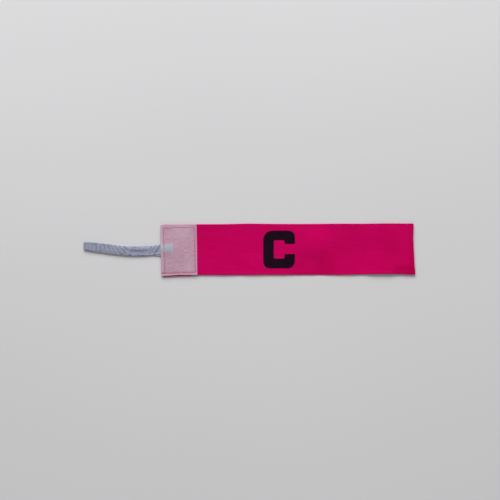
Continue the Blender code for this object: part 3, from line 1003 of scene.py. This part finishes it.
def make_sprout_tree():
    """Plants wires that curl over, as on hook tape and pile tape, in rows on a surface."""
    inputs = {
        "Surface": "Geometry",
        "Side Margin": 0.002,
        "End Margin": 0.0008,
        "Column Pitch": 0.0015,
        "Row Pitch": 0.0016,
        "Height": 0.001,
        "Curl": 3.6,
        "Wire": 0.0002,
        "Upwards": 1.0,
        "Unevenness": 0.3,
        "Seed": 6,
        "Finish": "Material",
    }
    given = start_group("rows of wires", "GeometryNodeTree", inputs)
    tree = given.tree

    # Rows and columns over the surface's box
    box = given["Surface"].into("GeometryNodeBoundBox")
    low, high = (box[end].into("ShaderNodeSeparateXYZ") for end in ("Min", "Max"))
    across = high["X"] - low["X"] - given["Side Margin"] * 2
    along = high["Y"] - low["Y"] - given["End Margin"] * 2
    sockets = {
        "Size X": across,
        "Size Y": along,
        "Vertices X": (across / given["Column Pitch"]).calc("ROUND") + 1,
        "Vertices Y": (along / given["Row Pitch"]).calc("ROUND") + 1,
    }
    field = put(tree, "GeometryNodeMeshGrid", sockets)
    x, y, z = ((high[axis] + low[axis]) * 0.5 for axis in "XYZ")
    off = combined(tree, x, y, z + given["Upwards"] * RAY_START)
    field = field.into("GeometryNodeSetPosition", {"Offset": off})

    # Down, or up, on to the surface, keeping what is painted there
    down = combined(tree, z=given["Upwards"] * -1)
    for layer in ("pressed", "whiteness"):
        sockets = {"Attribute": stored(tree, layer), "Ray Direction": down}
        sockets["Ray Length"] = 2 * RAY_START
        hit = given["Surface"].into("GeometryNodeRaycast", sockets, data_type="FLOAT")
        sockets = {"Name": layer, "Value": hit["Attribute"]}
        field = field.into("GeometryNodeStoreNamedAttribute", sockets, data_type="FLOAT")
    field = field.into("GeometryNodeSeparateGeometry", {"Selection": hit["Is Hit"]})
    field = field.into("GeometryNodeSetPosition", {"Position": hit["Hit Position"]})

    # One wire: a straight shank, then a curl
    share = put(tree, "GeometryNodeInputIndex") / (WIRE_POINTS - 1)
    angle = ((share - SHANK) / (1 - SHANK)).clamped() * given["Curl"]
    radius = given["Height"] * CURL_RADIUS
    rise = (share / SHANK).clamped() * (given["Height"] - radius)
    aside = (1 - angle.calc("COSINE")) * radius
    spot = combined(tree, x=aside, z=angle.calc("SINE") * radius + rise)
    line = put(tree, "GeometryNodeMeshLine", {"Count": WIRE_POINTS}, mode="OFFSET")
    line = line.into("GeometryNodeSetPosition", {"Position": spot})
    wire = drawn_out(line.into("GeometryNodeMeshToCurve"), given["Wire"], sides=WIRE_SIDES)

    # Each one turned, leant and pressed a little differently
    seed, uneven = given["Seed"], given["Unevenness"]
    side = chance(0.0, 1.0, seed).calc("ROUND") * math.pi + math.pi / 2
    yaw = side + chance(-1.6, 1.6, seed + 1) * uneven
    over = (1 - given["Upwards"]) * (math.pi / 2)
    lean = over + chance(-1.0, 1.0, seed + 2) * uneven
    tall = (stored(tree, "pressed") * -0.7 + 1) * chance(0.85, 1.0, seed + 3)
    sockets = {
        "Instance": wire,
        "Rotation": combined(tree, x=lean, z=yaw),
        "Scale": combined(tree, 1.0, 1.0, tall),
    }
    return end_instances(field, sockets, given["Finish"], "Wires")


def run_tree(name, start, tree, **values):
    """The piece that a tree of nodes makes from a mesh, as a plain mesh."""
    carrier = new_object(name + "_start", start)
    modifier = carrier.modifiers.new("make", "NODES")
    modifier.node_group = tree
    known = {item.name: item.identifier for item in tree.interface.items_tree}
    for key, value in values.items():
        modifier[known[titled(key)]] = value
    evaluated = carrier.evaluated_get(bpy.context.evaluated_depsgraph_get())
    made = bpy.data.meshes.new_from_object(evaluated)
    carrier.modifiers.remove(modifier)
    bpy.data.objects.remove(carrier)
    made.name = name
    if "pressed" in made.attributes:
        made.attributes.remove(made.attributes["pressed"])
    return new_object(name, made)


def path_mesh(name, corners, height):
    """Edges along a path of straight pieces that lies on a surface."""
    corners = np.array(corners)
    points = []
    for start, end in zip(corners, corners[1:]):
        count = max(1, math.ceil(math.dist(start, end) / PATH_STEP))
        points.append(start + (end - start) * np.arange(count)[:, None] / count)
    x, y = np.concatenate([*points, corners[-1:]]).T
    spots = np.stack([x, y, height(x, y)], axis=-1) + ORIGIN
    data = bpy.data.meshes.new(name)
    data.from_pydata(spots.tolist(), [(k, k + 1) for k in range(len(spots) - 1)], [])
    return data


def make_band(material):
    """The doubled cloth, with a rolled edge all round."""
    marks, insets, fulls = np.array(RIM_ROWS).T
    half = BAND_HEIGHT / 2
    near = [*marks, RIM_END]
    hems = [HEM_WIDTH + HEM_STEP_RUN * k / 2 for k in range(3)]
    columns = stations([*near, *(BAND_LENGTH - mark for mark in near + hems)], BAND_CELL)
    rows = lines(-half, half, near + hems, BAND_CELL)
    x, y = np.meshgrid(columns, rows)

    # Round the four corners
    past_x = np.maximum(x - BAND_LENGTH + CORNER_RADIUS, 0) - np.maximum(CORNER_RADIUS - x, 0)
    past_y = np.sign(y) * np.maximum(np.abs(y) - half + CORNER_RADIUS, 0)
    x = x + past_x * (np.sqrt(1 - (past_y / CORNER_RADIUS) ** 2 / 2) - 1)
    y = y + past_y * (np.sqrt(1 - (past_x / CORNER_RADIUS) ** 2 / 2) - 1)

    def drawn_in(away):
        return np.interp(away, marks, insets - marks)

    up = y / BAND_HEIGHT
    bottom, top = band_edges(x)
    y = bottom + (top - bottom) * (up + 0.5)
    front, back = band_front(x, y), band_back(x, y)
    full = np.interp(from_rim(columns, rows), marks, fulls)
    shift_x = drawn_in(columns) - drawn_in(BAND_LENGTH - columns)
    shift_y = -np.sign(rows) * drawn_in(half - np.abs(rows))
    slant = BAND_HEIGHT * follow(END_ROWS, "out", up) * ease(4 * x / BAND_LENGTH - 3)
    lean = PANEL_LEAN * -up * (1 - ease(4 * x / BAND_LENGTH))
    x = x + slant + lean + shift_x[None, :]
    band, x, y = closed_sheet("band", x, y + shift_y[:, None], back, front, full, material)
    # Painted shade over the turned right end, less towards the top, and painted light and shade in
    # places
    end_shade = (0.34 - 0.16 * ease(y, run=0.02)) * (1 - ease(BAND_LENGTH - x, 0.0040, 0.0050))
    paint(band, dull=end_shade + swelling(CLOTH_LIGHT_AND_SHADE, x, y))
    return band


def tape_back(x, y):
    """Height of the hook tape's underside."""
    arch = TAILS_ARCH * bell(y - TAILS_MIDDLE, TAILS_ARCH_REACH)
    return band_front(x, y) + AIR + (TAILS_RISE + arch) * under_tails(x, y)


def tape_front(x, y):
    """Height of the hook tape's woven ground, drawn down along the seam."""
    dent = TAPE_DENT * bell(far_from(x, y, TAPE_SEAM), TAPE_DENT_REACH)
    return tape_back(x, y) + TAPE_THICKNESS - dent


def make_tape(material):
    """The woven ground of the hook tape, cut square and set on a little askew."""
    across, row, full = cut_square(0.0, PANEL_WIDTH, PANEL_HEIGHT, PANEL_CELL)
    share, up = across / PANEL_WIDTH, row / PANEL_HEIGHT + 0.5
    bottom, top = (PANEL_HEIGHT * follow(PANEL_ROWS, edge, share) for edge in ("bottom", "top"))
    x = across - PANEL_OVERHANG + (PANEL_LEAN - PANEL_FLARE * share) * (0.5 - up)
    y = row + bottom * (1 - up) + top * up
    back, front = tape_back(x, y), tape_front(x, y)
    tape, x, y = closed_sheet("hook_tape", x, y, back, front, full, material)

    # White over the tails and past the band's end, and paler round the cut edges
    white = np.maximum(within(WHITE_TAILS, x, y), 0.50 * within(WHITE_END, x, y))
    left, right, low, high = STRIP
    past_seam = np.max([left - x, x - right, y - high, low - y], axis=0)
    (top_x, top_y), (low_x, low_y) = TAPE_SEAM[6:8]
    right_line = np.interp(y, [low_y, top_y], [low_x, top_x])
    # Painted light, and with a minus painted shade and a painted shadow below the tails
    painted_tone = swelling(TAPE_LIGHT_AND_SHADE, x, y)

    # Drawn in and pressed along the seam, and more where its lines cross and lock
    seam = far_from(x, y, TAPE_SEAM)
    worn = 0.80 + ripples(SEAM_RIPPLES, x, y) - 0.30 * ease(y, 0.0270, 0.0010)
    knot = bell(x - KNOT_X, KNOT_REACH_X) * bell(y - TAPE_SEAM[0][1], KNOT_REACH_Y)
    paint(
        tape,
        whiteness=white,
        edge=0.35 * ease(past_seam, 0.0004, 0.0010),
        sheer=0.6 * ease(x - right_line, 0.0005, 0.0008),
        pale=np.clip(painted_tone, 0, 1),
        dull=np.clip(-painted_tone, 0, 1),
        pressed=bell(seam, HOOKS_PRESSED, 4),
        seam=np.maximum(worn, knot) * bell(seam, SEAM_LINE + KNOT_LINE * knot),
    )
    return tape


def elastic_thickness(along):
    """The tape's thickness, squeezed where the tails are sewn down."""
    free = ease(LOOP_REACH * along, -0.001, 0.006)
    return ELASTIC_THICKNESS * (TAIL_SQUEEZE + (1 - TAIL_SQUEEZE) * free)


def back_run(along):
    """Middle of the elastic's wall on the run that lies underneath."""
    side = LOOP_REACH * follow(LOOP_ROWS, "side", along)
    y = side + ELASTIC_WIDTH * follow(LOOP_ROWS, "back", along)
    x = -LOOP_REACH * along
    bed = BAND_THICKNESS - TAILS_SINK + AIR + swelling(BULGE, x, y)
    z = elastic_thickness(along) / 2 + bed * (1 - ease(-x, run=LOOP_CLIMB))
    return x, y, z


def front_run(along):
    """Middle of the elastic's wall on the run that lies on top, and opens towards the fold."""
    x, _, z = back_run(along)
    opening = AIR + LOOP_SLACK * ease(3 * along) * ease(3 - 3 * along)
    opening = opening + (FOLD_OPENING - AIR) * ease(4 * along - 3)
    y = LOOP_REACH * follow(LOOP_ROWS, "side", along)
    return x, y, z + elastic_thickness(along) + opening


def make_elastic(material):
    """One length of corded elastic: out on the back run, round the fold and home on the front."""
    radius = (ELASTIC_THICKNESS + FOLD_OPENING) / 2
    turn = 1 - (radius + ELASTIC_THICKNESS / 2) / LOOP_REACH
    outward = stations([-TAIL_LENGTH / LOOP_REACH, 0.0, turn], LOOP_CELL / LOOP_REACH)
    end_x, end_y, end_z = back_run(turn)
    round_it = np.arange(1, FOLD_STEPS) / FOLD_STEPS
    out, up = radius * np.sin(math.pi * round_it), radius * (1 - np.cos(math.pi * round_it))
    side = end_y + (front_run(turn)[1] - end_y) * round_it
    fold = [turn + out / LOOP_REACH, end_x - out, side, end_z + up]
    home = np.array([outward, *front_run(outward)])[:, ::-1]
    line = np.concatenate([[outward, *back_run(outward)], fold, home], axis=1)
    along, x, y, z = line[:, :, None]
    on_front = (np.arange(line.shape[1]) > len(outward) + FOLD_STEPS / 2)[:, None]

    # Across the tape: five points to a cord
    share = np.linspace(-0.5, 0.5, 4 * CORDS + 1)[None, :]
    spot_y = y + ELASTIC_WIDTH * follow(LOOP_ROWS, "width", along) * share
    arch = ELASTIC_WIDTH * np.maximum(follow(LOOP_ROWS, "arch", along), 0.0)
    wall = np.stack([x + 0 * share, spot_y, z + arch * (1 - 4 * share * share)], axis=-1)
    normals = np.cross(np.gradient(wall, axis=0), np.gradient(wall, axis=1))
    normals /= np.linalg.norm(normals, axis=-1, keepdims=True)

    # Cords, and the puckers that slant across them where the tape is bent sideways
    inside = 2 * np.mod((share + 0.5) * CORDS, 1.0) - 1
    cord = CORD_VALLEY + (1 - CORD_VALLEY) * np.sqrt(np.clip(1 - inside**2, 0, 1))
    count = follow(RIB_ROWS, "count", along) + follow(RIB_ROWS, "turn", along) * share
    pucker = 0.5 + 0.5 * np.cos(math.tau * (count + ripples(PUCKER_RIPPLES, x, spot_y)))
    strength = 0.72 + ripples(STRENGTH_RIPPLES, x, spot_y)
    held = bell(along - 0.31, 0.13, 4) * bell(share - 0.04, 0.23, 4)
    strength = np.clip(np.maximum(strength, held), 0.15, 1.1)
    fade = ease(along, -0.02, 0.05) * (1 - 0.6 * ease(along, 0.85, 0.03))
    groove = pucker * fade * (1 - swelling(LOOP_CALM, along, share)) * strength
    half = elastic_thickness(along) / 2 * cord
    outer = half - PUCKER * groove * np.where(on_front, 1.0, 0.3)
    points = np.stack([wall + normals * outer[..., None], wall - normals * half[..., None]])

    index = np.arange(outer.size).reshape(outer.shape)
    other = index + outer.size
    faces = quads(index) + quads(other, -1)
    for side in (0, -1):
        faces += quads(np.stack([index[:, side], other[:, side]]))
    for end in (0, -1):
        faces += quads(np.stack([index[end], other[end]]))
    steps = np.linalg.norm(np.diff(wall[:, 2 * CORDS], axis=0), axis=-1)
    travelled = np.concatenate([[0.0], np.cumsum(steps)])[:, None]
    uv = np.stack([travelled + 0 * share, ELASTIC_WIDTH * share + 0 * along], axis=-1)
    uv = np.concatenate([uv, uv]).reshape(-1, 2)
    elastic = smooth_piece("elastic", points.reshape(-1, 3), faces, material, uv)

    # Painted shade in its grooves and on its upper side near the fold, and painted light along its
    # two edges, but not where the loop turns
    fold_shade = 0.25 * ease(along, 0.80, 0.10) * ease(share, -0.02, 0.40)
    groove_shade = np.clip(groove + fold_shade + swelling(LOOP_SHADE, along, share), 0, 1)
    upper = (1 - ease(along, 0.58, 0.10)) * (1 - 0.7 * bell(along - 0.36, 0.06))
    lower = 1 - ease(along, 0.36, 0.10)
    pale = 0.8 * ease(np.abs(share), 0.24, 0.14) * np.where(share > 0, upper, lower)
    paint(elastic, groove=[groove_shade, 0.4 * groove_shade], selvedge=[pale, pale])
    return elastic


def rounded(corners):
    """The points of a closed outline whose corners, each x, y and radius, are rounded."""
    points = []
    for k, (x, y, radius) in enumerate(corners):
        corner = Vector((x, y))
        back = (Vector(corners[k - 1][:2]) - corner).normalized()
        ahead = (Vector(corners[(k + 1) % len(corners)][:2]) - corner).normalized()
        centre = corner + radius * (back + ahead)
        for step in range(CORNER_STEPS + 1):
            angle = math.pi / 2 * step / CORNER_STEPS
            points.append(centre - radius * (math.cos(angle) * ahead + math.sin(angle) * back))
    return points


def make_letter(material):
    """The captain's letter, a thin film that lies in every swell of the cloth."""
    mesh = bmesh.new()
    verts = [mesh.verts.new((x, y, 0.0)) for x, y in rounded(LETTER_CORNERS)]

    # The face starts half way round its last corner, which settles how the pieces cut from it split
    start = len(verts) - CORNER_STEPS // 2
    mesh.faces.new(verts[start:] + verts[:start])
    for normal, span in (((1, 0, 0), LETTER_WIDTH), ((0, 1, 0), LETTER_HEIGHT)):
        for cut in stations([-span / 2, span / 2], LETTER_CELL)[1:-1]:
            whole = mesh.verts[:] + mesh.edges[:] + mesh.faces[:]
            spot = cut * Vector(normal)
            bmesh.ops.bisect_plane(mesh, geom=whole, plane_co=spot, plane_no=normal)
    flat = mesh.verts[:]
    grown = bmesh.ops.extrude_face_region(mesh, geom=mesh.faces[:], use_keep_orig=True)
    above = [part for part in grown["geom"] if isinstance(part, bmesh.types.BMVert)]
    for verts, rise in ((flat, LETTER_AIR), (above, LETTER_AIR + LETTER_THICKNESS)):
        x = LETTER_X + np.array([vert.co.x for vert in verts])
        y = np.array([vert.co.y for vert in verts])
        spots = np.stack([x, y, band_front(x, y) + rise], axis=-1) + ORIGIN
        for vert, spot in zip(verts, spots):
            vert.co = spot
    bmesh.ops.recalc_face_normals(mesh, faces=mesh.faces[:])
    data = bpy.data.meshes.new("letter")
    mesh.to_mesh(data)
    mesh.free()
    data.shade_smooth()
    data.set_sharp_from_angle(angle=SHARP_ANGLE)
    data.materials.append(material)
    letter = new_object("letter", data)
    soften = letter.modifiers.new("soften", "BEVEL")
    soften.width = LETTER_BEVEL
    soften.segments = 2
    soften.limit_method = "ANGLE"
    soften.angle_limit = SHARP_ANGLE
    return letter


def make_patch(material):
    """The woven ground of the pile tape, sewn behind the right end."""
    x, y, full = cut_square(PATCH_LEFT, PATCH_RIGHT, PATCH_HEIGHT, PATCH_CELL)
    front = PATCH_THICKNESS + 0 * x
    back = front - TAPE_THICKNESS
    patch, x, y = closed_sheet("pile_patch", x, y, back, front, full, material)
    paint(patch, pressed=bell(far_from(x, y, PATCH_SEAM), PILE_PRESSED, 4))
    return patch


def make_studio():
    """A plain pale floor, soft light from the top of the picture, and the camera straight above."""
    material, place = start_material("floor", roughness=0.9, gloss=0.1)
    patches = use(MOTTLE, place, size=0.5, fineness=0.3)
    end_material(material, blend(patches, (0.66, 0.66, 0.67), (0.68, 0.68, 0.69)))
    data = bpy.data.meshes.new("floor")
    sides = ((-1, -1), (1, -1), (1, 1), (-1, 1))
    corners = [(FLOOR_REACH * x, FLOOR_REACH * y, -FLOOR_DROP) for x, y in sides]
    data.from_pydata(corners, [], [(0, 1, 2, 3)])
    data.materials.append(material)
    new_object("floor", data)

    for name, spot, width, depth, power in LIGHTS:
        light = bpy.data.lights.new(name, "AREA")
        light.shape = "RECTANGLE"
        light.size = width
        light.size_y = depth
        light.energy = power
        lamp = new_object(name, light)
        lamp.location = spot
        lamp.rotation_euler = (-Vector(spot)).to_track_quat("-Z", "Y").to_euler()

    world = bpy.data.worlds.new("room")
    world.use_nodes = True
    sky = world.node_tree.nodes["Background"].inputs
    sky["Color"].default_value = (1.0, 1.0, 1.0, 1.0)
    sky["Strength"].default_value = SKY_STRENGTH
    bpy.context.scene.world = world

    lens = bpy.data.cameras.new("camera")
    lens.lens = LENS_LENGTH
    lens.sensor_width = SENSOR_WIDTH
    camera = new_object("camera", lens)
    camera.location = CAMERA_SPOT
    bpy.context.scene.camera = camera
    view = bpy.context.scene.view_settings
    view.view_transform = "Standard"
    view.look = "None"
    view.exposure = 0.0
    view.gamma = 1.0


def main():
    """Builds the studio and the ten pieces, and sets each piece on the body in place of its CAD
    parts.
    """
    make_studio()
    pink = make_pink_cloth()
    thread = make_thread()
    nylon = make_hook_nylon()
    pile = make_pile_yarn()
    stitches = make_stitch_tree()
    wires = make_sprout_tree()

    band = make_band(pink)
    tape = make_tape(make_hook_tape())
    elastic = make_elastic(make_elastic_yarn())
    letter = make_letter(make_letter_film())
    patch = make_patch(pile)
    hooks = run_tree(
        "hooks", tape.data.copy(), wires, side_margin=0.0028, column_pitch=0.00145,
        row_pitch=0.00150, height=HOOK_HEIGHT, wire=HOOK_WIRE, seed=6, finish=nylon,
    )
    loops = run_tree(
        "pile_loops", patch.data.copy(), wires, side_margin=0.0010, column_pitch=0.00125,
        row_pitch=0.00125, height=PILE_HEIGHT * 0.95, curl=4.4, wire=0.00016, upwards=-1.0,
        unevenness=0.9, seed=11, finish=pile,
    )

    def sewn(name, path, height, **values):
        return run_tree(name, path_mesh(name, path, height), stitches, finish=thread, **values)

    def patch_back(x, y):
        return PATCH_THICKNESS - TAPE_THICKNESS + 0 * x

    seam = sewn("tape_seam", TAPE_SEAM, tape_front, seed=4)
    under = sewn("tape_seam_back", BACK_SEAM, band_back, seed=5, facing=DOWN, thread=THREAD * 0.6)
    patch_seam = sewn("patch_seam", PATCH_SEAM, patch_back, seed=8, facing=DOWN)

    for piece, nodes, slot in (
        (band, ["band_cloth"], "pink_cloth"),
        (tape, ["hook_panel"], "hook_tape"),
        (hooks, [], "hook_tape"),
        (elastic, ["elastic_loop"], "elastic"),
        (letter, ["captain_letter"], "letter_film"),
        (patch, ["loop_patch"], "pile_tape"),
        (loops, [], "pile_tape"),
        (seam, [], "pink_cloth"),
        (under, [], "pink_cloth"),
        (patch_seam, [], "pink_cloth"),
    ):
        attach(piece, BODY)
        if nodes:
            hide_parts(*nodes)


main()
